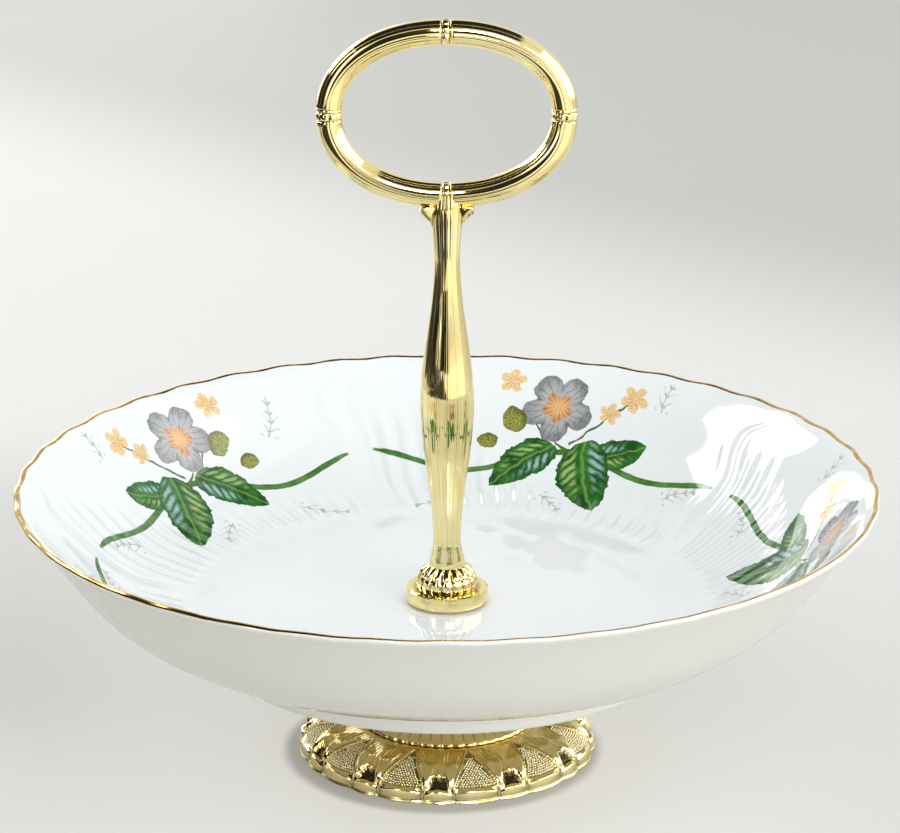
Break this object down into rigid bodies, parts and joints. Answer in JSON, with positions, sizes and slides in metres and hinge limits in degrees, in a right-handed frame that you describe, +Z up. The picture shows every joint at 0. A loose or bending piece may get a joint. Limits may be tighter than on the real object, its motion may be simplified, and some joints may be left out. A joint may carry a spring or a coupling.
{
  "type": "footed nut dish",
  "caption": "Shallow porcelain bowl with a scalloped gilt rim on a low embossed metal foot, with a fluted stem and an oval loop handle rising from its middle.",
  "frame": {"origin": "middle of the flat ring that the foot stands on", "axes": "+Z up along the stem, X across the handle's loop, -Y towards the front"},
  "size_m": [0.2168, 0.2174, 0.1896],
  "materials": {
    "porcelain": "clear glossy glaze over white porcelain, with a gilt rim line",
    "gilt_handle": "polished pale gold plate",
    "gilt_foot": "embossed pale gold plate",
    "plated_steel": "zinc plated",
    "soft_washer": "soft matte"
  },
  "bodies": {
    "root": {"foot": "gilt_foot", "seat_cup": "gilt_foot", "lower_pad": "soft_washer", "bowl": "porcelain", "top_pad": "soft_washer", "base_disc": "gilt_handle", "lobed_collar": "gilt_handle", "handle": "gilt_handle", "threaded_rod": "plated_steel", "flat_washer": "plated_steel", "lock_washer": "plated_steel", "nut": "plated_steel"}
  },
  "joints": []
}
